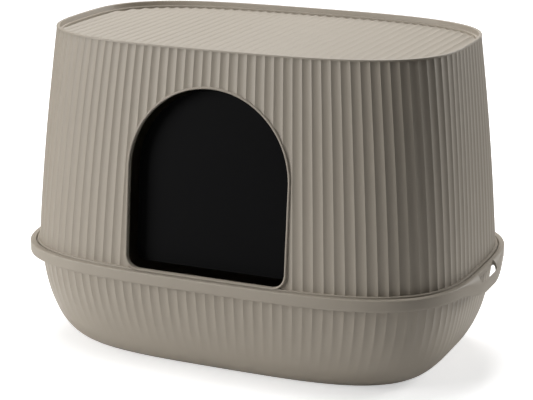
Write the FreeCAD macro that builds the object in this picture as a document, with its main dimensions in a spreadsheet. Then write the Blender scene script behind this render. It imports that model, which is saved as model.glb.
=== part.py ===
import FreeCAD, Part
import math
import os
import Sketcher

# Hooded litter box: a fluted tray, a fluted hood that stands in a channel in the tray's rim,
# and a swing flap hung inside the hood's arched entry. Millimetres, +Z up, front towards -Y,
# origin on the floor under the middle of the tray.

doc = FreeCAD.newDocument("hooded_litter_box")
sheet = doc.addObject("Spreadsheet::Sheet", "Sizes")

SIZES = {
    # Hood wall, measured over the ridges of its flutes
    "hood_base_length": 541,
    "hood_base_depth": 351.4,
    "hood_base_fullness": 3.56,
    "hood_top_length": 501,
    "hood_top_depth": 296.4,
    "hood_top_fullness": 3.17,
    "overall_height": 386,
    "hood_swell_share": 0.363,
    "hood_wall": 2.4,
    # Flutes, the same number round the hood and the tray
    "flute_count": 128,
    "flute_depth": 1,
    # Hood foot and the channel in the tray's rim that it stands in
    "channel_height": 121.6,
    "foot_height": 6,
    "foot_ledge": 2.2,
    "foot_clearance": 0.6,
    "groove_width": 2.8,
    # Tray rim
    "rim_overhang": 9.8,
    "rim_bead_height": 4.8,
    "rim_skirt_height": 13.8,
    "rim_wall": 2.4,
    "rim_round": 1.6,
    # Carrying grips at both ends of the rim
    "grip_reach": 13,
    "grip_crest_length": 40,
    "grip_length": 170,
    "grip_slot_length": 78,
    "grip_slot_width": 10,
    # Tray bowl
    "tray_step_in": 12.5,
    "tray_wall": 2.4,
    "tray_floor": 2.8,
    "bowl_round": 52,
    "bowl_fullness": 2.22,
    "bowl_draft_share": 0.063,
    "bowl_depth_share": 0.895,
    # Recessed top deck
    "deck_drop": 10,
    "deck_flute_pitch": 11.6,
    "deck_flute_depth": 1.2,
    "deck_plate": 2.4,
    "deck_edge": 3.4,
    "deck_step_width": 2.6,
    "deck_step_height": 1.8,
    "top_band_height": 2.4,
    "top_band_proud": 0.3,
    # Arched entry
    "entry_width": 198,
    "entry_height": 214.6,
    "entry_corner": 16,
    "lip_width": 2.6,
    "lip_proud": 1.2,
    # Flap and its hinge
    "flap_gap": 3.2,
    "flap_crown_gap": 4.2,
    "flap_foot_gap": 4.6,
    "flap_plate": 3,
    "flap_lean": 5.8,
    "hinge_rise": 6,
    "hinge_back": 5.4,
    "hinge_offset": 11,
    "ear_spread": 56,
    "ear_width": 9,
    "ear_thickness": 8,
    "pin_diameter": 5,
    "pin_clearance": 0.08,
    "pin_end": 0.6,
    "lug_gap": 0.4,
    "lug_width": 5,
    "lug_round": 6.5,
    # Cutting tools run past what they cut by this much
    "overrun": 20,
}

for row, (alias, value) in enumerate(SIZES.items(), start=1):
    sheet.set(f"A{row}", alias)
    sheet.set(f"B{row}", str(value))
    sheet.setAlias(f"B{row}", alias)
doc.recompute()

# Points along each smooth outline, an even number, and finer points that the even spacing is measured on
OUTLINE_POINTS = 64
SPACING_STEPS = 4096

# Heights of the loft sections as shares of the hood wall and of the tray bowl, from the bottom up
HOOD_SECTION_SHARES = (0, 0.5, 1)
BOWL_SECTION_SHARES = (0, 0.05, 0.18, 0.42, 0.6, 0.78, 1)
# Depth of the tray's flutes at those sections, as shares of the full depth: they fade out on the way down
BOWL_FLUTE_SHARES = (0, 0, 0, 0.15, 0.55, 1, 1)
# Flats that round off the rim's top edge
EDGE_STEPS = 2


def size(alias):
    return float(sheet.get(alias))


def mix(start, end, share):
    return start * (1 - share) + end * share


# Heights that several pieces share
hood_start = size("channel_height") + size("foot_height")
rim_top = size("channel_height") + size("rim_bead_height")
rim_bottom = rim_top - size("rim_skirt_height")
bowl_top = rim_bottom
flange_bottom = size("channel_height") - size("rim_wall")
ceiling = size("overall_height") - size("deck_drop") - size("deck_flute_depth") - size("deck_plate")
band_bottom = size("overall_height") - size("top_band_height")
hood_inside = -size("flute_depth") - size("hood_wall")


def plan_point(half_length, half_depth, fullness, turn):
    """Point of a full, rounded plan outline at a turn counted from the middle of the front."""
    along = math.sin(turn)
    back = -math.cos(turn)
    x = half_length * math.copysign(abs(along) ** (2 / fullness), along)
    y = half_depth * math.copysign(abs(back) ** (2 / fullness), back)
    return x, y


def even_plan(half_length, half_depth, fullness, count):
    """Points spaced evenly along the plan outline, counterclockwise from the middle of the front."""
    turns = [2 * math.pi * step / SPACING_STEPS for step in range(SPACING_STEPS + 1)]
    fine = [plan_point(half_length, half_depth, fullness, turn) for turn in turns]
    run = [0]
    for (x0, y0), (x1, y1) in zip(fine, fine[1:]):
        run.append(run[-1] + math.hypot(x1 - x0, y1 - y0))
    points = []
    step = 0
    for index in range(count):
        goal = run[-1] * index / count
        while run[step + 1] < goal:
            step += 1
        share = (goal - run[step]) / (run[step + 1] - run[step])
        (x0, y0), (x1, y1) = fine[step], fine[step + 1]
        points.append((mix(x0, x1, share), mix(y0, y1, share)))
    return points


def hood_half_sizes(share):
    """Half length, half depth and fullness of the hood over its ridges, at a share of the wall's height."""
    lean = share + size("hood_swell_share") * (share ** 2 - share)
    half_length = mix(size("hood_base_length"), size("hood_top_length"), lean) / 2
    half_depth = mix(size("hood_base_depth"), size("hood_top_depth"), lean) / 2
    return half_length, half_depth, mix(size("hood_base_fullness"), size("hood_top_fullness"), share)


def hood_plan(share, out, count=OUTLINE_POINTS):
    """Outline of the hood at a share of its wall's height, moved out from the ridges."""
    half_length, half_depth, fullness = hood_half_sizes(share)
    return even_plan(half_length + out, half_depth + out, fullness, count)


def hood_front(height):
    """How far the hood's ridges stand in front of the middle, at a height."""
    return hood_half_sizes((height - hood_start) / (band_bottom - hood_start))[1]


def bowl_plan(share, out, count=OUTLINE_POINTS):
    """Outline of the tray's bowl at a share of its height, moved out from the ridges."""
    drop = 1 - share
    fullness = size("bowl_fullness")
    inset = size("bowl_round") * (1 - (1 - drop ** fullness) ** (1 / fullness))
    inset += size("bowl_draft_share") * drop * bowl_top
    half_length, half_depth, plan_fullness = hood_half_sizes(0)
    edge = size("rim_overhang") - size("tray_step_in") + out
    half_length += edge - inset
    half_depth += edge - inset * size("bowl_depth_share")
    return even_plan(half_length, half_depth, plan_fullness, count)


def grip_plan(out):
    """Outline of the rim, moved out from the hood's base and swelling into a grip at both ends."""
    crest = size("grip_crest_length") / 2
    end = size("grip_length") / 2
    points = []
    for x, y in hood_plan(0, out):
        share = min(max((abs(y) - crest) / (end - crest), 0), 1)
        swell = size("grip_reach") * (1 + math.cos(math.pi * share)) / 2
        inside_grip = abs(x) > size("hood_base_length") / 4
        points.append((x + math.copysign(swell, x) if inside_grip else x, y))
    return points


def fluted(plan, depth, height):
    """Outline of hollow flutes between ridges and its height."""
    ridges = [FreeCAD.Vector(x, y, height) for x, y in plan]
    edges = []
    for start, end in zip(ridges, ridges[1:] + ridges[:1]):
        across = end - start
        inward = FreeCAD.Vector(-across.y, across.x, 0).normalize()
        edges.append(Part.Arc(start, (start + end) / 2 + inward * depth, end).toShape())
    return Part.Wire(edges), height


def faceted(plan, height):
    """Outline of straight facets, for inner walls and where flutes have faded out, and its height."""
    corners = [FreeCAD.Vector(x, y, height) for x, y in plan]
    return Part.makePolygon(corners + corners[:1]), height


def smooth(plan, height):
    """Smooth outline of arcs, each through three of the plan's points, and its height."""
    points = [FreeCAD.Vector(x, y, height) for x, y in plan]
    ends = points[::2]
    arcs = zip(ends, points[1::2], ends[1:] + ends[:1])
    return Part.Wire([Part.Arc(start, middle, end).toShape() for start, middle, end in arcs]), height


def wire_object(name, wire):
    feature = doc.addObject("Part::Feature", name)
    feature.Shape = wire
    return feature


def moulding(name, stations):
    """Solid whose skin runs through a chain of outlines, from an inner end over the edges to an outer end.

    Outlines that follow each other at one height are joined by a flat ring, others by a ruled wall.
    """
    faces = [Part.Face(stations[0][0]), Part.Face(stations[-1][0])]
    for (wire, height), (next_wire, next_height) in zip(stations, stations[1:]):
        if height == next_height:
            faces.append(Part.makeFace([wire, next_wire], "Part::FaceMakerBullseye"))
        else:
            faces.extend(Part.makeRuledSurface(wire, next_wire).Faces)
    skin = Part.makeCompound(faces)
    skin.sewShape()
    solid = Part.Solid(skin.Shells[0])
    if solid.Volume < 0:
        solid.reverse()
    feature = doc.addObject("Part::Feature", name)
    feature.Shape = solid
    return feature


def prism(name, plan, bottom, height):
    """Upright solid on a smooth outline. The height is a sum of sheet values, as an expression."""
    solid = doc.addObject("Part::Extrusion", name)
    solid.Base = wire_object(f"{name}_outline", smooth(plan, bottom)[0])
    solid.DirMode = "Custom"
    solid.Dir = FreeCAD.Vector(0, 0, 1)
    solid.Solid = True
    solid.setExpression("LengthFwd", height)
    return solid


def fuse(name, shapes):
    result = doc.addObject("Part::MultiFuse", name)
    result.Shapes = shapes
    return result


def common(name, shapes):
    result = doc.addObject("Part::MultiCommon", name)
    result.Shapes = shapes
    return result


def cut(name, base, tool):
    result = doc.addObject("Part::Cut", name)
    result.Base = base
    result.Tool = tool
    return result


def place(feature, x, y, z):
    """Places a feature. Each coordinate is an expression."""
    feature.setExpression("Placement.Base.x", x)
    feature.setExpression("Placement.Base.y", y)
    feature.setExpression("Placement.Base.z", z)
    return feature


def rod(name, radius, length, start_x, y, z):
    """Cylinder along X from a starting place."""
    cylinder = doc.addObject("Part::Cylinder", name)
    cylinder.setExpression("Radius", radius)
    cylinder.setExpression("Height", length)
    cylinder.Placement = FreeCAD.Placement(
        FreeCAD.Vector(start_x, y, z), FreeCAD.Rotation(FreeCAD.Vector(0, 0, 1), FreeCAD.Vector(1, 0, 0))
    )
    return cylinder


def origin_plane(body, role):
    return next(plane for plane in body.Origin.OriginFeatures if plane.Role == role)


def plane_sketch(body, name, role, offset):
    """Sketch on one of a body's own origin planes, moved along the plane's normal by an expression."""
    sketch = body.newObject("Sketcher::SketchObject", name)
    sketch.AttachmentSupport = (origin_plane(body, role), [""])
    sketch.MapMode = "FlatFace"
    sketch.setExpression("AttachmentOffset.Base.z", offset)
    return sketch


def bind(sketch, constraint, expression):
    """Adds a dimension to a sketch and ties it to the sheet."""
    index = sketch.addConstraint(constraint)
    sketch.setExpression(f"Constraints[{index}]", expression)


def arch_sketch(sketch, half_width, spring, foot, corner):
    """Upright arch: level foot, round lower corners, straight sides, half-round crown.

    Each size is a pair of its present value and the expression that drives it.
    """
    width, rise, low, bend = half_width[0], spring[0], foot[0], corner[0]
    up = FreeCAD.Vector(0, 0, 1)
    quarter = math.pi / 2

    def at(u, v):
        return FreeCAD.Vector(u, v, 0)

    def arc(u, v, radius, start):
        sweep = math.pi if radius == width else quarter
        return Part.ArcOfCircle(Part.Circle(at(u, v), up, radius), start, start + sweep)

    sketch.addGeometry(Part.LineSegment(at(bend - width, low), at(width - bend, low)), False)
    sketch.addGeometry(arc(width - bend, low + bend, bend, -quarter), False)
    sketch.addGeometry(Part.LineSegment(at(width, low + bend), at(width, rise)), False)
    sketch.addGeometry(arc(0, rise, width, 0), False)
    sketch.addGeometry(Part.LineSegment(at(-width, rise), at(-width, low + bend)), False)
    sketch.addGeometry(arc(bend - width, low + bend, bend, math.pi), False)
    edge_count = 6
    for edge in range(edge_count):
        sketch.addConstraint(Sketcher.Constraint("Tangent", edge, 2, (edge + 1) % edge_count, 1))
    sketch.addConstraint(Sketcher.Constraint("Horizontal", 0))
    sketch.addConstraint(Sketcher.Constraint("Vertical", 2))
    sketch.addConstraint(Sketcher.Constraint("Vertical", 4))
    sketch.addConstraint(Sketcher.Constraint("Equal", 1, 5))
    sketch.addConstraint(Sketcher.Constraint("PointOnObject", 3, 3, -2))
    bind(sketch, Sketcher.Constraint("Radius", 3, width), half_width[1])
    bind(sketch, Sketcher.Constraint("Radius", 1, bend), corner[1])
    bind(sketch, Sketcher.Constraint("DistanceY", -1, 1, 3, 3, rise), spring[1])
    bind(sketch, Sketcher.Constraint("DistanceY", -1, 1, 0, 1, low), foot[1])


# Tray: up the inside of the bowl, over the upstand, the channel and the rim, then down the flutes
flutes = int(size("flute_count"))
full_depth = size("flute_depth")
tray_inside = -full_depth - size("tray_wall")
skirt_inside = size("rim_overhang") - size("rim_wall")
groove_outside = size("foot_ledge") + size("groove_width")
channel_floor = size("channel_height")


def rim_edge():
    """Outlines of the rim's rounded top edge, from its top round to its side."""
    bend = size("rim_round")
    outlines = []
    for step in range(EDGE_STEPS + 1):
        turn = math.pi / 2 * step / EDGE_STEPS
        out = size("rim_overhang") - bend * (1 - math.sin(turn))
        drop = bend * (1 - math.cos(turn))
        outlines.append(smooth(grip_plan(out), rim_top - drop))
    return outlines


stations = []
for share in BOWL_SECTION_SHARES:
    stations.append(faceted(bowl_plan(share, tray_inside), mix(size("tray_floor"), bowl_top, share)))
stations.append(faceted(bowl_plan(1, tray_inside), rim_top))
stations.append(faceted(hood_plan(0, hood_inside - size("foot_clearance")), rim_top))
stations.append(faceted(hood_plan(0, hood_inside - size("foot_clearance")), channel_floor))
stations.append(smooth(hood_plan(0, groove_outside), channel_floor))
stations.append(smooth(hood_plan(0, groove_outside), rim_top))
stations.extend(rim_edge())
stations.append(smooth(grip_plan(size("rim_overhang")), rim_bottom))
stations.append(smooth(grip_plan(skirt_inside), rim_bottom))
stations.append(smooth(grip_plan(skirt_inside), flange_bottom))
stations.append(fluted(bowl_plan(1, 0, flutes), full_depth, flange_bottom))
for share, depth_share in list(zip(BOWL_SECTION_SHARES, BOWL_FLUTE_SHARES))[-2::-1]:
    ridges = bowl_plan(share, 0, flutes)
    height = share * bowl_top
    stations.append(fluted(ridges, full_depth * depth_share, height) if depth_share else faceted(ridges, height))
tray_body = moulding("tray_body", stations)


def grip_box(name, length, bottom, height):
    """Box across the whole tray that keeps the middle stretch of both grips."""
    box = doc.addObject("Part::Box", name)
    box.setExpression("Length", "Sizes.hood_base_length + 2 * (Sizes.rim_overhang + Sizes.grip_reach)")
    box.setExpression("Width", length)
    box.setExpression("Height", height)
    return place(box, f"-{name}.Length / 2", f"-{name}.Width / 2", bottom)


RIM_TOP = "(Sizes.channel_height + Sizes.rim_bead_height)"
slot_stretch = grip_box(
    "slot_stretch", "Sizes.grip_slot_length", f"{RIM_TOP} - Sizes.overrun", "2 * Sizes.overrun"
)
slot_outside = prism("slot_outside", grip_plan(skirt_inside), rim_top - size("overrun"), "2 * Sizes.overrun")
slot_core = prism(
    "slot_core",
    grip_plan(skirt_inside - size("grip_slot_width")),
    rim_top - 2 * size("overrun"),
    "4 * Sizes.overrun",
)
slots = cut("grip_slots", common("slot_bands", [slot_outside, slot_stretch]), slot_core)
tray = cut("tray", tray_body, slots)
tray.Label = "tray"

# Hood: down the inside from the ceiling, round the foot, up the flutes and over the band to the deck
deck_height = size("overall_height") - size("deck_drop")
step_top = deck_height + size("deck_step_height")
overall_height = size("overall_height")

stations = []
for share in reversed(HOOD_SECTION_SHARES):
    height = mix(hood_start, ceiling, share)
    wall_share = (height - hood_start) / (band_bottom - hood_start)
    stations.append(faceted(hood_plan(wall_share, hood_inside), height))
stations.append(faceted(hood_plan(0, hood_inside), channel_floor))
stations.append(smooth(hood_plan(0, size("foot_ledge")), channel_floor))
stations.append(smooth(hood_plan(0, size("foot_ledge")), hood_start))
for share in HOOD_SECTION_SHARES:
    stations.append(fluted(hood_plan(share, 0, flutes), full_depth, mix(hood_start, band_bottom, share)))
stations.append(smooth(hood_plan(1, size("top_band_proud")), band_bottom))
stations.append(smooth(hood_plan(1, size("top_band_proud")), overall_height))
stations.append(smooth(hood_plan(1, -size("deck_edge")), overall_height))
stations.append(smooth(hood_plan(1, -size("deck_edge")), step_top))
hood_body = moulding("hood_body", stations)

ENTRY_FOOT = "(Sizes.channel_height + Sizes.foot_height)"
ENTRY_SPRING = f"({ENTRY_FOOT} + Sizes.entry_height - Sizes.entry_width / 2)"
entry_spring = hood_start + size("entry_height") - size("entry_width") / 2


def arch_prism(name, widen, widen_expression):
    """Arch that runs forward out of the hood, widened all round from the entry's own outline."""
    body = doc.addObject("PartDesign::Body", name)
    sketch = plane_sketch(body, f"{name}_outline", "XZ_Plane", "0")
    arch_sketch(
        sketch,
        (size("entry_width") / 2 + widen, f"Sizes.entry_width / 2 + {widen_expression}"),
        (entry_spring, ENTRY_SPRING),
        (hood_start - widen, f"{ENTRY_FOOT} - {widen_expression}"),
        (size("entry_corner") + widen, f"Sizes.entry_corner + {widen_expression}"),
    )
    pad = body.newObject("PartDesign::Pad", f"{name}_pad")
    pad.Profile = sketch
    pad.setExpression("Length", "Sizes.hood_base_depth / 2 + Sizes.overrun")
    return body


entry = arch_prism("entry", 0, "0")
lip_arch = arch_prism("lip_arch", size("lip_width"), "Sizes.lip_width")

# The lip is a flat frame that leans like the chord of the front wall from the sill to the crown
crown_height = hood_start + size("entry_height")
lean_back = hood_front(hood_start) - hood_front(crown_height)
wall_lean = math.degrees(math.atan(lean_back / size("entry_height")))
lip_slab = doc.addObject("Part::Box", "lip_slab")
lip_slab.setExpression("Length", "Sizes.entry_width + 2 * Sizes.overrun")
lip_slab.setExpression("Width", "2 * Sizes.lip_proud + Sizes.flute_depth + 2 * Sizes.hood_wall")
lip_slab.setExpression("Height", "Sizes.entry_height + Sizes.overrun")
lip_slab.Placement = FreeCAD.Placement(
    FreeCAD.Vector(
        -size("entry_width") / 2 - size("overrun"), -hood_front(hood_start) - size("lip_proud"), hood_start
    ),
    FreeCAD.Rotation(FreeCAD.Vector(1, 0, 0), -wall_lean),
)
lip = common("entry_lip", [lip_arch, lip_slab])
deck_floor = prism(
    "deck_floor",
    hood_plan(1, -size("deck_edge") - size("deck_step_width")),
    ceiling,
    "Sizes.deck_drop + Sizes.overrun",
)


def scallop_face():
    """Upright section of the space over the deck, with a hollow for each flute of the deck."""
    pitch = size("deck_flute_pitch")
    count = math.ceil(size("hood_top_length") / pitch)
    edge = pitch * count / 2
    top = size("overall_height") + size("overrun")
    edges = []
    for index in range(count):
        left = index * pitch - edge
        edges.append(
            Part.Arc(
                FreeCAD.Vector(left, 0, deck_height),
                FreeCAD.Vector(left + pitch / 2, 0, deck_height - size("deck_flute_depth")),
                FreeCAD.Vector(left + pitch, 0, deck_height),
            ).toShape()
        )
    corners = [(edge, deck_height), (edge, top), (-edge, top), (-edge, deck_height)]
    for (x0, z0), (x1, z1) in zip(corners, corners[1:]):
        edges.append(Part.LineSegment(FreeCAD.Vector(x0, 0, z0), FreeCAD.Vector(x1, 0, z1)).toShape())
    return Part.Wire(edges)


scallops = doc.addObject("Part::Extrusion", "deck_scallops")
scallops.Base = wire_object("deck_scallop_section", scallop_face())
scallops.DirMode = "Custom"
scallops.Dir = FreeCAD.Vector(0, 1, 0)
scallops.Symmetric = True
scallops.Solid = True
scallops.setExpression("LengthFwd", "Sizes.hood_top_depth")
deck_flutes = common("deck_flutes", [deck_floor, scallops])

hood_opened = cut("hood_opened", hood_body, fuse("hood_tools", [lip_arch, deck_flutes]))
shell = cut("hood_shell", fuse("hood_lipped", [hood_opened, lip]), entry)

# Hinge axis of the flap, over the crown of the entry and behind the front wall
axis_height = hood_start + size("entry_height") + size("hinge_rise")
axis_back = -(hood_front(axis_height) + hood_inside) + size("hinge_back")
lug_start = (size("ear_spread") + size("ear_width")) / 2 + size("lug_gap")
lug_grip = size("hood_wall") / 2

lugs = []
bores = []
for side, start_x in (("left", -lug_start - size("lug_width")), ("right", lug_start)):
    block = doc.addObject("Part::Box", f"lug_block_{side}")
    block.setExpression("Length", "Sizes.lug_width")
    block.setExpression("Width", "Sizes.hinge_back + Sizes.hood_wall / 2")
    block.setExpression("Height", "2 * Sizes.lug_round")
    block_back = axis_back - size("hinge_back") - lug_grip
    block.Placement.Base = FreeCAD.Vector(start_x, block_back, axis_height - size("lug_round"))
    lugs.append(block)
    lugs.append(rod(f"lug_end_{side}", "Sizes.lug_round", "Sizes.lug_width", start_x, axis_back, axis_height))
    bores.append(
        rod(
            f"lug_bore_{side}",
            "Sizes.pin_diameter / 2 + Sizes.pin_clearance",
            "Sizes.lug_width + 2 * Sizes.lug_gap",
            start_x - size("lug_gap"),
            axis_back,
            axis_height,
        )
    )
hood = cut("hood", fuse("hood_with_lugs", [shell] + lugs), fuse("lug_bores", bores))
hood.Label = "hood"

# Flap, drawn hanging straight down from its hinge axis and then leaned like the front wall
flap = doc.addObject("PartDesign::Body", "flap")
flap.Label = "flap"
CROWN = "(Sizes.hinge_rise + Sizes.flap_crown_gap)"
crown_drop = size("hinge_rise") + size("flap_crown_gap")
flap_radius = size("entry_width") / 2 - size("flap_gap")
FLAP_RADIUS = "(Sizes.entry_width / 2 - Sizes.flap_gap)"

plate_sketch = plane_sketch(flap, "plate_outline", "XZ_Plane", "-Sizes.hinge_offset")
arch_sketch(
    plate_sketch,
    (flap_radius, FLAP_RADIUS),
    (-crown_drop - flap_radius, f"-{CROWN} - {FLAP_RADIUS}"),
    (
        size("flap_foot_gap") - size("hinge_rise") - size("entry_height"),
        "Sizes.flap_foot_gap - Sizes.hinge_rise - Sizes.entry_height",
    ),
    (size("entry_corner") - size("flap_gap"), "Sizes.entry_corner - Sizes.flap_gap"),
)
plate = flap.newObject("PartDesign::Pad", "plate")
plate.Profile = plate_sketch
plate.Reversed = True
plate.setExpression("Length", "Sizes.flap_plate")


def box_sketch(sketch, low, high):
    """Rectangle between two corners. Each coordinate is a pair of its value and its expression."""
    (left, left_rule), (bottom, bottom_rule) = low
    (right, right_rule), (top, top_rule) = high
    corners = [(left, bottom), (right, bottom), (right, top), (left, top)]
    for (u0, v0), (u1, v1) in zip(corners, corners[1:] + corners[:1]):
        sketch.addGeometry(Part.LineSegment(FreeCAD.Vector(u0, v0, 0), FreeCAD.Vector(u1, v1, 0)), False)
    side_count = len(corners)
    for side in range(side_count):
        sketch.addConstraint(Sketcher.Constraint("Coincident", side, 2, (side + 1) % side_count, 1))
        sketch.addConstraint(Sketcher.Constraint("Vertical" if side % 2 else "Horizontal", side))
    bind(sketch, Sketcher.Constraint("DistanceX", -1, 1, 0, 1, left), left_rule)
    bind(sketch, Sketcher.Constraint("DistanceY", -1, 1, 0, 1, bottom), bottom_rule)
    bind(sketch, Sketcher.Constraint("DistanceX", -1, 1, 2, 1, right), right_rule)
    bind(sketch, Sketcher.Constraint("DistanceY", -1, 1, 2, 1, top), top_rule)


# Each ear rises in the plate's plane to the axis, then reaches forward to it
ear_half = size("ear_thickness") / 2
tab_sketch = plane_sketch(flap, "tab_outline", "XZ_Plane", "-Sizes.hinge_offset")
box_sketch(
    tab_sketch,
    (
        ((size("ear_spread") - size("ear_width")) / 2, "(Sizes.ear_spread - Sizes.ear_width) / 2"),
        (-crown_drop - size("ear_width") * 2, f"-{CROWN} - Sizes.ear_width * 2"),
    ),
    (
        ((size("ear_spread") + size("ear_width")) / 2, "(Sizes.ear_spread + Sizes.ear_width) / 2"),
        (ear_half, "Sizes.ear_thickness / 2"),
    ),
)
tab = flap.newObject("PartDesign::Pad", "tab")
tab.Profile = tab_sketch
tab.Reversed = True
tab.setExpression("Length", "Sizes.flap_plate")

EAR_START = "(Sizes.ear_spread - Sizes.ear_width) / 2"
arm_sketch = plane_sketch(flap, "arm_outline", "YZ_Plane", EAR_START)
box_sketch(
    arm_sketch,
    ((0, "0"), (-ear_half, "-Sizes.ear_thickness / 2")),
    (
        (size("hinge_offset") + size("flap_plate"), "Sizes.hinge_offset + Sizes.flap_plate"),
        (ear_half, "Sizes.ear_thickness / 2"),
    ),
)
arm = flap.newObject("PartDesign::Pad", "arm")
arm.Profile = arm_sketch
arm.setExpression("Length", "Sizes.ear_width")


def axis_disc(name, start, diameter, length):
    """Round boss or pin on the hinge axis."""
    sketch = plane_sketch(flap, f"{name}_outline", "YZ_Plane", start)
    radius = Part.Circle(FreeCAD.Vector(0, 0, 0), FreeCAD.Vector(0, 0, 1), size("pin_diameter"))
    sketch.addGeometry(radius, False)
    sketch.addConstraint(Sketcher.Constraint("Coincident", 0, 3, -1, 1))
    bind(sketch, Sketcher.Constraint("Diameter", 0, size("pin_diameter")), diameter)
    disc = flap.newObject("PartDesign::Pad", name)
    disc.Profile = sketch
    disc.setExpression("Length", length)
    return disc


knuckle = axis_disc("knuckle", EAR_START, "Sizes.ear_thickness", "Sizes.ear_width")
pin = axis_disc(
    "pin",
    "(Sizes.ear_spread + Sizes.ear_width) / 2",
    "Sizes.pin_diameter",
    "Sizes.lug_gap + Sizes.lug_width + Sizes.pin_end",
)
ears = flap.newObject("PartDesign::Mirrored", "ears")
ears.Originals = [tab, arm, knuckle, pin]
ears.MirrorPlane = (origin_plane(flap, "YZ_Plane"), [""])
flap.Tip = ears
flap.Placement = FreeCAD.Placement(
    FreeCAD.Vector(0, axis_back, axis_height),
    FreeCAD.Rotation(FreeCAD.Vector(1, 0, 0), -size("flap_lean")),
)

doc.recompute()

pieces = [tray, hood, flap]
for feature in doc.Objects:
    for fault in ("Invalid", "Error"):
        if fault in feature.State:
            raise RuntimeError(f"{feature.Name} is {fault}")
for piece in pieces:
    if piece.Shape.isNull() or not piece.Shape.isValid():
        raise RuntimeError(f"{piece.Label} has no valid shape")

os.makedirs("parts", exist_ok=True)
for piece in pieces:
    piece.Shape.exportStep(f"parts/{piece.Label}.step")
    box = piece.Shape.optimalBoundingBox(False)
    reach = [round(value, 2) for value in (box.XMin, box.XMax, box.YMin, box.YMax, box.ZMin, box.ZMax)]
    print(piece.Label, len(piece.Shape.Solids), "solid", round(piece.Shape.Volume), "mm3", reach)
print("hinge axis", round(axis_back, 3), round(axis_height, 3))
print("flap centre", flap.Shape.Solids[0].CenterOfMass)
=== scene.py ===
# %% [markdown]
# # Hooded litter box
# Three mouldings are dressed here: a fluted tray with a grip at each end, a fluted hood that stands in a
# channel in the tray's rim, and a smoked flap that hangs in the hood's arched entry. The CAD model gives
# their size and place. Here the tray and the hood are modelled again with finer flutes and rounded edges.

# %% Start
import math
import bmesh
import bpy
import numpy as np
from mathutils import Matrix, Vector


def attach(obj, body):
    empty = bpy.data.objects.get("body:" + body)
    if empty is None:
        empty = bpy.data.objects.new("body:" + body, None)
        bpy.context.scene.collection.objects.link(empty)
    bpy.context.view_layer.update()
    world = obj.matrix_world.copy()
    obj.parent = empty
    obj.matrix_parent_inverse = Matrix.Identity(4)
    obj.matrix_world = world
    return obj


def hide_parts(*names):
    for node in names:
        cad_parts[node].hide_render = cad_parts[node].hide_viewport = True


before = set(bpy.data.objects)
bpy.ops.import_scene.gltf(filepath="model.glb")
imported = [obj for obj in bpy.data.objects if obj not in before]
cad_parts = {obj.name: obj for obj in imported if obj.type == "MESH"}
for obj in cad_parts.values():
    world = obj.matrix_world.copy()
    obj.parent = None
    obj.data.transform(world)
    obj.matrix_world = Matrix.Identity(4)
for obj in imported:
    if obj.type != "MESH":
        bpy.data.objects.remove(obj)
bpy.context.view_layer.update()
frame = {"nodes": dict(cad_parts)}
bpy.ops.object.select_all(action="DESELECT")
print("CAD nodes:", ", ".join(frame["nodes"]))

# %% [markdown]
# ## Sizes
# All lengths are in millimetres, as on a drawing, and become metres when a mesh is made. They follow the
# CAD model. Two forms follow a closer look at the photo instead: the grips are domed and reach less far, and
# the deck lies a little higher. Both stay inside the CAD model's box.

# %% Sizes
MM = 0.001
# Rounded edges, and how far in their middle lies
EDGE = 0.8
EDGE_MIDDLE = 0.25
SHARP_DEGREES = 28
FLUTES = 128
FLUTE_STEPS = 8
FLUTE_DEPTH = 1.1
# Hood: half length, half depth and fullness of its plan at foot and top
HOOD_BASE = (270.5, 175.7, 3.56)
HOOD_TOP = (250.5, 148.2, 3.17)
HOOD_SWELL = 0.363
HOOD_START = 127.6
HOOD_INSIDE = -3.4
BAND_BOTTOM = 383.6
BAND_PROUD = 0.25
BAND_EDGE = 0.9
BAND_EDGE_MIDDLE = 0.3
TOP = 386.0
CEILING = 372.4
CHANNEL = 121.6
FOOT_LEDGE = 2.2
FOOT_EDGE = 0.7
FOOT_EDGE_MIDDLE = 0.2
# Deck
DECK = 378.8
DECK_EDGE = -3.4
DECK_STEP = -6.0
DECK_STEP_TOP = 380.2
DECK_STEP_EDGE = 0.5
DECK_STEP_FOOT = 376.3
DECK_PITCH = 11.6
DECK_FLUTE = 1.6
DECK_THICK = 1.2
DECK_OVERLAP = 0.2
# Tray: rim, grips and finger slots
RIM_TOP = 126.4
RIM_BOTTOM = 112.6
RIM_OUT = 9.8
RIM_WALL = 2.4
RIM_ROUND = 1.5
FLANGE_BOTTOM = 119.2
GROOVE_OUT = 3.6
GRIP_REACH = 5.6
GRIP_DROP = 11.3
GRIP_INSIDE = 9.2
GRIP_INSIDE_DROP = 0.5
GRIP_CREST = 15.0
GRIP_END = 89.0
SLOT_WIDTH = 5.8
SLOT_HALF = 31.0
SLOT_CORNER = 2.6
SLOT_BOTTOM = 112.0
SLOT_TOP = 132.4
SLOT_STEPS = 49
STRAP = 1.7
# Tray: bowl and upstand
BOWL_EDGE = -2.7
BOWL_ROUND = 52.0
BOWL_FULLNESS = 2.22
BOWL_DRAFT = 0.063
BOWL_DEPTH_SHARE = 0.895
BOWL_FADE = (0.16, 0.95)
TRAY_FLOOR = 2.8
TRAY_INSIDE = -3.4
UPSTAND = -4.0
UPSTAND_BEVEL = 0.4
UPSTAND_BEVEL_DROP = 0.5
# Entry and its lip
ENTRY_HALF = 99.0
ENTRY_SPRING = 243.2
ENTRY_CORNER = 16.0
ENTRY_CUT = (-230.0, -110.0)
ARCH_POINTS = 96
LIP_WIDTH = 2.6
LIP_OVERLAP = 0.2
LIP_DEPTH = 5.6
LIP_SHARP_DEGREES = 40
LIP_PROUD = 0.9
# Colour clouds and the points of an outline
CLOUD_SIZE = 60.0
RING = FLUTES * FLUTE_STEPS
SPACING_STEPS = 8192
print("points round each ring:", RING)


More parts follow.
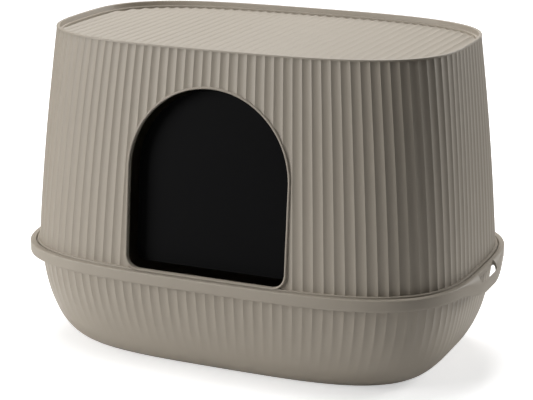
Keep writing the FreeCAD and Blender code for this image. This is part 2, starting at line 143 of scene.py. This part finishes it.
# %% [markdown]
# ## Outlines
# Hood and tray have a full, rounded plan: a superellipse, whose points are spaced evenly along the edge so
# that every flute is as wide as the next. A flute is a shallow hollow between two ridges. A parabola is as
# good as an arc at this depth and needs no centre.

# %% Outlines
def even_plan(half_length, half_depth, fullness, count=RING):
    """Evenly spaced points of a superellipse from the middle of the front, and their outward normals."""
    turn = np.linspace(0, 2 * math.pi, SPACING_STEPS + 1)
    along, back = np.sin(turn), -np.cos(turn)
    x = half_length * np.sign(along) * np.abs(along) ** (2 / fullness)
    y = half_depth * np.sign(back) * np.abs(back) ** (2 / fullness)
    run = np.concatenate([[0], np.cumsum(np.hypot(np.diff(x), np.diff(y)))])
    goal = run[-1] * np.arange(count) / count
    points = np.stack([np.interp(goal, run, x), np.interp(goal, run, y)], axis=1)
    across = np.roll(points, -1, axis=0) - np.roll(points, 1, axis=0)
    normals = np.stack([across[:, 1], -across[:, 0]], axis=1)
    return points, normals / np.linalg.norm(normals, axis=1)[:, None]


step_share = (np.arange(RING) % FLUTE_STEPS) / FLUTE_STEPS
HOLLOW = 4 * step_share * (1 - step_share)


def hood_sizes(share):
    """Half length, half depth and fullness of the hood's ridges at a share of the wall's height."""
    lean = share + HOOD_SWELL * (share ** 2 - share)
    length = HOOD_BASE[0] + (HOOD_TOP[0] - HOOD_BASE[0]) * lean
    depth = HOOD_BASE[1] + (HOOD_TOP[1] - HOOD_BASE[1]) * lean
    return length, depth, HOOD_BASE[2] + (HOOD_TOP[2] - HOOD_BASE[2]) * share


def ring(sizes, out, height, flute=0.0):
    """One ring of points: an outline moved out, with hollows of some depth."""
    points, normals = even_plan(sizes[0] + out, sizes[1] + out, sizes[2])
    points = points - normals * (HOLLOW * flute)[:, None]
    return np.column_stack([points, np.full(len(points), height)])


def grip_swell(points):
    """How much of a grip there is at points of the rim's outline, from 0 to 1."""
    share = np.clip((np.abs(points[:, 1]) - GRIP_CREST) / (GRIP_END - GRIP_CREST), 0, 1)
    swell = (1 + np.cos(math.pi * share)) / 2
    return np.where(np.abs(points[:, 0]) > HOOD_BASE[0] / 2, swell, 0)


def rim_ring(plain, grip):
    """One ring of the rim, from a place in its plain section and the place that this becomes at a grip."""
    points, _ = even_plan(HOOD_BASE[0] + plain[0], HOOD_BASE[1] + plain[0], HOOD_BASE[2])
    swell = grip_swell(points)
    points[:, 0] += np.sign(points[:, 0]) * swell * (grip[0] - plain[0])
    return np.column_stack([points, plain[1] + swell * (grip[1] - plain[1])])


def dome(share):
    """A place on a grip's section, a quarter ellipse from the groove to the foot, as out and height."""
    turn = share * math.pi / 2
    start = GROOVE_OUT + EDGE
    height = RIM_TOP - RIM_BOTTOM - EDGE + GRIP_DROP
    return start + (RIM_OUT + GRIP_REACH - start) * math.sin(turn), RIM_TOP - height * (1 - math.cos(turn))


def hood_share(height):
    """Share of the hood wall's height at a height above the floor."""
    return (height - HOOD_START) / (BAND_BOTTOM - HOOD_START)


def bowl_sizes(share):
    """Half length, half depth and fullness of the bowl's ridges at a share of its height."""
    drop = 1 - share
    inset = BOWL_ROUND * (1 - (1 - drop ** BOWL_FULLNESS) ** (1 / BOWL_FULLNESS))
    inset += BOWL_DRAFT * drop * RIM_BOTTOM
    length = HOOD_BASE[0] + BOWL_EDGE - inset
    return length, HOOD_BASE[1] + BOWL_EDGE - inset * BOWL_DEPTH_SHARE, HOOD_BASE[2]


print("hood at mid height:", [round(value, 1) for value in hood_sizes(0.5)])


# %% [markdown]
# ## A skin through rings
# A moulding is one skin that turns over its edges. It starts as a circle primitive whose points are set to
# the first ring. The open edge is extruded once for each further ring, as a modeller would pull it along,
# and both ends are filled. A lathe would not do, because the plan isn't round.

# %% Skin
def skin(name, rings, close=False):
    """Extrudes a circle primitive through rings of points. Ends are filled, or joined where close is true."""
    bpy.ops.object.select_all(action="DESELECT")
    bpy.ops.mesh.primitive_circle_add(vertices=len(rings[0]), radius=1, fill_type="NOTHING")
    piece = bpy.context.object
    piece.name = name
    bpy.ops.object.mode_set(mode="EDIT")
    bpy.ops.mesh.select_mode(type="VERT")
    bpy.ops.mesh.select_all(action="SELECT")
    mesh = bmesh.from_edit_mesh(piece.data)
    place = mesh.verts.layers.int.new("place")
    for index, vert in enumerate(mesh.verts):
        vert[place] = index
    set_ring(piece, rings[0])
    if not close:
        bpy.ops.mesh.edge_face_add()
        keep_open_edge(piece)
    for points in rings[1:] + (rings[:1] if close else []):
        bpy.ops.mesh.extrude_edges_move()
        set_ring(piece, points)
    if not close:
        bpy.ops.mesh.edge_face_add()
    bpy.ops.mesh.select_all(action="SELECT")
    bpy.ops.mesh.remove_doubles(threshold=1e-7)
    bpy.ops.mesh.normals_make_consistent(inside=False)
    bpy.ops.object.mode_set(mode="OBJECT")
    return piece


def set_ring(piece, points):
    """Moves the selected ring's points to their places."""
    mesh = bmesh.from_edit_mesh(piece.data)
    place = mesh.verts.layers.int["place"]
    for vert in mesh.verts:
        if vert.select:
            vert.co = Vector(points[vert[place]]) * MM
    bmesh.update_edit_mesh(piece.data)


def keep_open_edge(piece):
    """Leaves the ring's edges selected and its cap not, so that the cap stays where it is."""
    bpy.ops.mesh.select_mode(type="EDGE")
    mesh = bmesh.from_edit_mesh(piece.data)
    for face in mesh.faces:
        face.select = False
    for edge in mesh.edges:
        edge.select_set(True)
    bmesh.update_edit_mesh(piece.data)


def apply_cut(piece, cutter):
    """Cuts a closed cutter out of a piece and deletes the cutter."""
    bpy.ops.object.select_all(action="DESELECT")
    bpy.context.view_layer.objects.active = piece
    piece.select_set(True)
    change = piece.modifiers.new("cut", "BOOLEAN")
    change.operation = "DIFFERENCE"
    change.solver = "EXACT"
    change.object = cutter
    bpy.ops.object.modifier_apply(modifier=change.name)
    bpy.data.objects.remove(cutter)


def shade(piece, degrees):
    """Smooth shading that keeps the edges sharper than an angle."""
    bpy.ops.object.select_all(action="DESELECT")
    bpy.context.view_layer.objects.active = piece
    piece.select_set(True)
    bpy.ops.object.shade_smooth_by_angle(angle=math.radians(degrees))


def finish_piece(piece, body, material):
    """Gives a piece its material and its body."""
    piece.data.materials.clear()
    piece.data.materials.append(material)
    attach(piece, body)
    print(piece.name, len(piece.data.polygons), "faces")


# %% [markdown]
# ## Materials
# The shells are injection-moulded polypropylene in a warm grey, with the fine even grain of a spark-eroded
# mould, which keeps them matte. The flap is a smoked sheet, almost black. Both are mixed from nodes.

# %% Material helpers
def linear(code):
    """Linear colour of an sRGB hex code."""
    values = [int(code[place:place + 2], 16) / 255 for place in (1, 3, 5)]
    return [v / 12.92 if v <= 0.04045 else ((v + 0.055) / 1.055) ** 2.4 for v in values] + [1.0]


def node(tree, kind, **values):
    """Adds a node and sets its sockets by name."""
    made = tree.nodes.new(kind)
    for name, value in values.items():
        made.inputs[name.replace("_", " ")].default_value = value
    return made


def plastic(name, code, code_dark, roughness, specular, grain_mm, grain_height_mm):
    """Moulded plastic: two close colours in soft clouds and a fine mould grain."""
    material = bpy.data.materials.new(name)
    material.use_nodes = True
    tree = material.node_tree
    shader = tree.nodes["Principled BSDF"]
    shader.inputs["Roughness"].default_value = roughness
    shader.inputs["Specular IOR Level"].default_value = specular
    coordinates = node(tree, "ShaderNodeTexCoord")
    cloud = node(tree, "ShaderNodeTexNoise", Scale=1 / (CLOUD_SIZE * MM), Detail=2.0)
    colour = tree.nodes.new("ShaderNodeMix")
    colour.data_type = "RGBA"
    colour.inputs["A"].default_value = linear(code)
    colour.inputs["B"].default_value = linear(code_dark)
    grain = node(tree, "ShaderNodeTexNoise", Scale=1 / (grain_mm * MM), Detail=2.0)
    bump = node(tree, "ShaderNodeBump", Strength=1.0, Distance=grain_height_mm * MM)
    link = tree.links.new
    link(coordinates.outputs["Object"], cloud.inputs["Vector"])
    link(coordinates.outputs["Object"], grain.inputs["Vector"])
    link(cloud.outputs["Fac"], colour.inputs["Factor"])
    link(colour.outputs["Result"], shader.inputs["Base Color"])
    link(grain.outputs["Fac"], bump.inputs["Height"])
    link(bump.outputs["Normal"], shader.inputs["Normal"])
    return material


# %% Materials
shell_plastic = plastic(
    "moulded_polypropylene_warm_grey", "#a69d90", "#a39a8d",
    roughness=0.5, specular=0.35, grain_mm=0.9, grain_height_mm=0.012)
smoked_sheet = plastic(
    "smoked_flap_sheet", "#080809", "#070708",
    roughness=0.5, specular=0.07, grain_mm=1.2, grain_height_mm=0.004)
print("materials:", shell_plastic.name, smoked_sheet.name)

# %% [markdown]
# ## Tray, inside
# The tray is one injection moulding. Its skin starts on the bowl's floor, runs up the inside, over the upstand
# and down into the channel that takes the hood's foot. A thickened surface would be quicker, but the channel
# needs walls of its own, so the skin is drawn ring by ring.

# %% Tray inside
rings = []
for share in (0, 0.01, 0.03, 0.06, 0.1, 0.15, 0.22, 0.3, 0.42, 0.6, 0.8, 1):
    rings.append(ring(bowl_sizes(share), TRAY_INSIDE, TRAY_FLOOR + (RIM_BOTTOM - TRAY_FLOOR) * share))
rings.append(ring(bowl_sizes(1), TRAY_INSIDE, RIM_TOP - UPSTAND_BEVEL_DROP))
rings.append(ring(bowl_sizes(1), TRAY_INSIDE + UPSTAND_BEVEL, RIM_TOP))
for out, height in (
    (UPSTAND - UPSTAND_BEVEL, RIM_TOP),
    (UPSTAND, RIM_TOP - UPSTAND_BEVEL_DROP),
    (UPSTAND, CHANNEL),
    (GROOVE_OUT, CHANNEL),
    (GROOVE_OUT, RIM_TOP - EDGE),
    (GROOVE_OUT + EDGE_MIDDLE, RIM_TOP - EDGE_MIDDLE),
):
    rings.append(ring(HOOD_BASE, out, height))
print("rings inside the tray:", len(rings))

# %% [markdown]
# ## Tray, rim and grips
# Past the channel the skin turns down as the rim, with a small round and an upright face. At each end the rim
# swells into a carrying grip, and there the same section is a dome that hangs lower. Each ring is a blend of
# both sections, so the grip grows out of the rim without a seam. Then the skin goes back up behind the face.

# %% Rim
plain = [(GROOVE_OUT + EDGE, RIM_TOP)]
for turn in np.linspace(0, math.pi / 2, 7):
    plain.append((RIM_OUT - RIM_ROUND * (1 - math.sin(turn)), RIM_TOP - RIM_ROUND * (1 - math.cos(turn))))
for share in (0.2, 0.4, 0.6, 0.8, 1):
    plain.append((RIM_OUT, RIM_TOP - RIM_ROUND - (RIM_TOP - RIM_ROUND - RIM_BOTTOM - EDGE) * share))
for place, section in enumerate(plain):
    rings.append(rim_ring(section, dome(place / (len(plain) - 1))))
for inset, height in ((EDGE_MIDDLE, EDGE_MIDDLE), (EDGE, 0), (RIM_WALL, 0)):
    foot = (RIM_OUT - inset, RIM_BOTTOM + height)
    rings.append(rim_ring(foot, (foot[0] + GRIP_REACH, foot[1] - GRIP_DROP)))
for height, share in ((0.33, 0.8), (0.67, 0.6)):
    wall = (RIM_OUT - RIM_WALL, RIM_BOTTOM + (FLANGE_BOTTOM - RIM_BOTTOM) * height)
    outside = dome(share)
    rings.append(rim_ring(wall, (outside[0] - RIM_WALL, outside[1] - GRIP_INSIDE_DROP)))
rings.append(rim_ring((RIM_OUT - RIM_WALL, FLANGE_BOTTOM), (GRIP_INSIDE, FLANGE_BOTTOM)))
print("rings with the rim:", len(rings))

# %% [markdown]
# ## Tray, outside
# Under the rim the flutes are as deep as the hood's. They get shallower on the way down and are gone where the
# bowl turns under. Their depth is eased in and out, as a mould maker would blend them.

# %% Tray outside
rings.append(ring(bowl_sizes(1), 0, FLANGE_BOTTOM, flute=FLUTE_DEPTH))
for share in np.concatenate([np.linspace(1, 0.24, 20), [0.18, 0.13, 0.09, 0.06, 0.035, 0.018, 0.006, 0]]):
    fade = np.clip((share - BOWL_FADE[0]) / (BOWL_FADE[1] - BOWL_FADE[0]), 0, 1)
    depth = FLUTE_DEPTH * fade * fade * (3 - 2 * fade)
    rings.append(ring(bowl_sizes(share), 0, RIM_BOTTOM * share, flute=depth))
tray = skin("tray_moulding", rings)


# %% [markdown]
# ## Grip slots
# A finger slot goes through each grip and follows its curve. A slot is easier to take away than to model round,
# so a cutter is made from its outline and a boolean modifier cuts it out.

# %% Grip slots
def slot_outline(side):
    """Points round a grip's finger slot, which follows the curve of the grip and has round corners."""
    length, depth, fullness = HOOD_BASE
    y = np.linspace(-SLOT_HALF, SLOT_HALF, SLOT_STEPS)
    x = (length + RIM_OUT) * (1 - np.abs(y / (depth + RIM_OUT)) ** fullness) ** (1 / fullness)
    x = x + GRIP_REACH * grip_swell(np.column_stack([x, y])) - STRAP
    past = np.clip(np.abs(y) - SLOT_HALF + SLOT_CORNER, 0, SLOT_CORNER)
    corner = SLOT_CORNER - np.sqrt(SLOT_CORNER ** 2 - past ** 2)
    outer = np.column_stack([side * (x - corner), y])
    inner = np.column_stack([side * (x - SLOT_WIDTH + corner), y])
    return np.concatenate([outer, inner[::-1]])


for side in (-1, 1):
    outline = slot_outline(side)
    heights = [np.column_stack([outline, np.full(len(outline), z)]) for z in (SLOT_BOTTOM, SLOT_TOP)]
    apply_cut(tray, skin("slot_cutter", heights))
shade(tray, SHARP_DEGREES)
finish_piece(tray, "tray", shell_plastic)
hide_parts("tray")

# %% [markdown]
# ## Hood
# The skin runs down the inside from the ceiling, round the foot that stands in the channel, over a narrow
# ledge and up the flutes. The flutes stop under a smooth band that turns over the top edge. Inside it the
# wall drops to a small step round the deck. A tapered box with an array of grooves would lose the soft plan.

# %% Hood
rings = []
for height in np.linspace(CEILING, HOOD_START, 8):
    rings.append(ring(hood_sizes(hood_share(height)), HOOD_INSIDE, height))
rings.append(ring(HOOD_BASE, HOOD_INSIDE, CHANNEL))
rings.append(ring(HOOD_BASE, FOOT_LEDGE, CHANNEL))
rings.append(ring(HOOD_BASE, FOOT_LEDGE, HOOD_START - FOOT_EDGE))
rings.append(ring(HOOD_BASE, FOOT_LEDGE - FOOT_EDGE_MIDDLE, HOOD_START - FOOT_EDGE_MIDDLE))
rings.append(ring(HOOD_BASE, FOOT_LEDGE - FOOT_EDGE, HOOD_START))
for share in np.linspace(0, 1, 15):
    height = HOOD_START + (BAND_BOTTOM - HOOD_START) * share
    rings.append(ring(hood_sizes(share), 0, height, flute=FLUTE_DEPTH))
for out, height in (
    (BAND_PROUD, BAND_BOTTOM),
    (BAND_PROUD, TOP - BAND_EDGE),
    (BAND_PROUD - BAND_EDGE_MIDDLE, TOP - BAND_EDGE_MIDDLE),
    (BAND_PROUD - BAND_EDGE, TOP),
    (DECK_EDGE + BAND_EDGE, TOP),
    (DECK_EDGE + BAND_EDGE_MIDDLE, TOP - BAND_EDGE_MIDDLE),
    (DECK_EDGE, TOP - BAND_EDGE),
    (DECK_EDGE, DECK_STEP_TOP + EDGE),
    (DECK_EDGE - EDGE_MIDDLE, DECK_STEP_TOP + EDGE_MIDDLE),
    (DECK_EDGE - EDGE, DECK_STEP_TOP),
    (DECK_STEP + DECK_STEP_EDGE, DECK_STEP_TOP),
    (DECK_STEP, DECK_STEP_TOP - DECK_STEP_EDGE),
    (DECK_STEP, DECK_STEP_FOOT),
):
    rings.append(ring(HOOD_TOP, out, height))
hood = skin("hood_moulding", rings)


# %% [markdown]
# ## Entry
# The entry is an upright arch with round lower corners. It is cut through the front wall by a boolean, a little
# wider than the opening, because the lip fills the rest.

# %% Entry
def arch(widen, count):
    """Points round the entry's arch: level foot, round lower corners, upright sides and half-round crown."""
    half, foot, bend = ENTRY_HALF + widen, HOOD_START - widen, ENTRY_CORNER + widen
    crown = np.linspace(0, math.pi, count)
    turn = np.linspace(0, math.pi / 2, count // 8)
    right = np.column_stack([half - bend + bend * np.sin(turn), foot + bend - bend * np.cos(turn)])
    top = np.column_stack([half * np.cos(crown), ENTRY_SPRING + half * np.sin(crown)])
    left = np.column_stack([-right[::-1, 0], right[::-1, 1]])
    return np.concatenate([right, top, left])


def upright(points, y):
    """An arch's points as a ring, at a depth or at depths."""
    return np.column_stack([points[:, 0], np.broadcast_to(y, len(points)), points[:, 1]])


outline = arch(LIP_WIDTH - LIP_OVERLAP, ARCH_POINTS)
apply_cut(hood, skin("entry_cutter", [upright(outline, y) for y in ENTRY_CUT]))
shade(hood, SHARP_DEGREES)
finish_piece(hood, "hood", shell_plastic)
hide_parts("hood")

# %% [markdown]
# ## Entry lip
# A rounded bead frames the entry and stands a little in front of the ridges. It leans like the front wall.
# It is its own skin, a closed loop of rings round the arch, because the wall's flutes have to stop at it.

# %% Lip
FRONT_LOW = -HOOD_BASE[1]
crown_front = -hood_sizes(hood_share(ENTRY_SPRING + ENTRY_HALF))[1]
LEAN = (crown_front - FRONT_LOW) / (ENTRY_SPRING + ENTRY_HALF - HOOD_START)
rings = []
for widen, behind in (
    (0, LIP_DEPTH), (0, 0.9), (0.25, 0.3), (0.8, 0),
    (1.8, 0), (2.35, 0.3), (LIP_WIDTH, 0.9), (LIP_WIDTH, LIP_DEPTH),
):
    points = arch(widen, ARCH_POINTS)
    rings.append(upright(points, FRONT_LOW - LIP_PROUD + behind + LEAN * (points[:, 1] - HOOD_START)))
lip = skin("entry_lip", rings, close=True)
shade(lip, LIP_SHARP_DEGREES)
finish_piece(lip, "hood", shell_plastic)

# %% [markdown]
# ## Deck
# The top is sunk inside the band, and its flutes run from front to back. It is a grid whose columns reach
# from the front edge to the back edge, with hollows across it, thickened downward by a solidify modifier.

# %% Deck
COLUMN_STEPS = 10
ROWS = 8
END_SHARE = 0.9999
deck_sizes = (HOOD_TOP[0] + DECK_STEP + DECK_OVERLAP, HOOD_TOP[1] + DECK_STEP + DECK_OVERLAP, HOOD_TOP[2])
columns = int(2 * deck_sizes[0] / DECK_PITCH * COLUMN_STEPS)
bpy.ops.object.select_all(action="DESELECT")
bpy.ops.mesh.primitive_grid_add(x_subdivisions=columns, y_subdivisions=ROWS, size=2)
deck = bpy.context.object
deck.name = "hood_deck"
bpy.ops.object.mode_set(mode="EDIT")
mesh = bmesh.from_edit_mesh(deck.data)
for vert in mesh.verts:
    x = deck_sizes[0] * END_SHARE * vert.co.x
    y = vert.co.y * deck_sizes[1] * (1 - abs(x / deck_sizes[0]) ** deck_sizes[2]) ** (1 / deck_sizes[2])
    step = (x / DECK_PITCH + 0.5) % 1
    vert.co = Vector((x, y, DECK - DECK_FLUTE * 4 * step * (1 - step))) * MM
bmesh.update_edit_mesh(deck.data)
bpy.ops.object.mode_set(mode="OBJECT")
thick = deck.modifiers.new("thickness", "SOLIDIFY")
thick.thickness = DECK_THICK * MM
thick.offset = -1
bpy.ops.object.modifier_apply(modifier=thick.name)
shade(deck, SHARP_DEGREES)
finish_piece(deck, "hood", shell_plastic)

# %% [markdown]
# ## Flap
# The CAD flap is a plain plate on two ears, and that is its real shape. It keeps its mesh and gets the
# smoked sheet's material.

# %% Flap
flap = frame["nodes"]["flap"]
for place in range(len(flap.material_slots)):
    flap.material_slots[place].material = smoked_sheet

# %% [markdown]
# ## Floor
# A photographer's white sweep: the camera sees it lit to white, apart from the soft shadow. For the light that
# the object gets back from it, the floor carries a painted pool of light: white near the object and dull
# further off.

# %% Floor
FLOOR_SIZE = 30
FLOOR_GLOW = 0.52
# Painted pool of light in the floor's bounce colour: its range from the middle in metres, and its brightness
# near and far.
PAINTED_POOL_RANGE = (0.35, 1.0)
PAINTED_POOL_BRIGHTNESS = (0.97, 0.2)
bpy.ops.object.select_all(action="DESELECT")
bpy.ops.mesh.primitive_plane_add(size=FLOOR_SIZE)
floor = bpy.context.object
floor.name = "floor"
floor_paint = bpy.data.materials.new("white_studio_floor")
floor_paint.use_nodes = True
tree = floor_paint.node_tree
paint = tree.nodes["Principled BSDF"]
paint.inputs["Base Color"].default_value = linear("#f4f4f4")
paint.inputs["Roughness"].default_value = 0.9
paint.inputs["Specular IOR Level"].default_value = 0.0
glow = node(tree, "ShaderNodeEmission", Color=linear("#ffffff"), Strength=FLOOR_GLOW)
# Only bounced light sees this colour, a painted pool of light that fades from near white to dull.
painted_pool_diffuse = node(tree, "ShaderNodeBsdfDiffuse")
coordinates = node(tree, "ShaderNodeTexCoord")
distance = tree.nodes.new("ShaderNodeVectorMath")
distance.operation = "LENGTH"
bounce = node(
    tree, "ShaderNodeMapRange",
    From_Min=PAINTED_POOL_RANGE[0], From_Max=PAINTED_POOL_RANGE[1], To_Min=PAINTED_POOL_BRIGHTNESS[0], To_Max=PAINTED_POOL_BRIGHTNESS[1])
tree.links.new(coordinates.outputs["Object"], distance.inputs[0])
tree.links.new(distance.outputs["Value"], bounce.inputs["Value"])
tree.links.new(bounce.outputs["Result"], painted_pool_diffuse.inputs["Color"])
light_path = node(tree, "ShaderNodeLightPath")
both = node(tree, "ShaderNodeAddShader")
choice = node(tree, "ShaderNodeMixShader")
tree.links.new(paint.outputs[0], both.inputs[0])
tree.links.new(glow.outputs[0], both.inputs[1])
tree.links.new(light_path.outputs["Is Camera Ray"], choice.inputs[0])
tree.links.new(painted_pool_diffuse.outputs[0], choice.inputs[1])
tree.links.new(both.outputs[0], choice.inputs[2])
tree.links.new(choice.outputs[0], tree.nodes["Material Output"].inputs["Surface"])
floor.data.materials.append(floor_paint)
print("floor:", floor_paint.name)


# %% [markdown]
# ## Light
# Two large soft lights stand on the left. One hangs above, one behind lights the deck, and one the right end.
# Large lights give the soft edges of the photo's shading. A sun or an image of a room would be harder to steer.

# %% Light
LIGHT_AIM = (0, 0, 0.2)


def soft_light(name, place, size, power):
    """Square area light that faces the object."""
    bpy.ops.object.light_add(type="AREA", location=place)
    light = bpy.context.object
    light.name = name
    light.data.size = size
    light.data.energy = power
    light.rotation_euler = (Vector(LIGHT_AIM) - Vector(place)).to_track_quat("-Z", "Y").to_euler()
    print(name, power, "W")


soft_light("key_light", (-1.9, -1.85, 0.8), size=1.2, power=43.5)
soft_light("left_light", (-2.2, -0.6, 1.15), size=1.2, power=7)
soft_light("top_light", (-0.4, -0.5, 2.6), size=1.2, power=27)
soft_light("back_light", (-0.5, 1.6, 2.5), size=1.4, power=57)
soft_light("right_light", (1.9, 1.95, 1.1), size=1.2, power=44)
world = bpy.data.worlds.new("studio")
bpy.context.scene.world = world
world.use_nodes = True
backdrop = world.node_tree.nodes["Background"]
backdrop.inputs["Color"].default_value = linear("#ffffff")
backdrop.inputs["Strength"].default_value = 0.02

# %% [markdown]
# ## Camera
# The photo's view: from the front, 24 degrees to the right and 16 degrees up, with a long lens.

# %% Camera
CAMERA_PLACE = (0.8269, -1.8487, 0.7587)
CAMERA_AIM = (0, 0, 0.1737)
CAMERA_LENS = 117.1
SENSOR_WIDTH = 36
bpy.ops.object.camera_add(location=CAMERA_PLACE)
camera = bpy.context.object
camera.rotation_euler = (Vector(CAMERA_AIM) - Vector(CAMERA_PLACE)).to_track_quat("-Z", "Y").to_euler()
camera.data.lens = CAMERA_LENS
camera.data.sensor_width = SENSOR_WIDTH
bpy.context.scene.camera = camera
bpy.context.scene.view_settings.view_transform = "Standard"
print("camera at", CAMERA_PLACE)
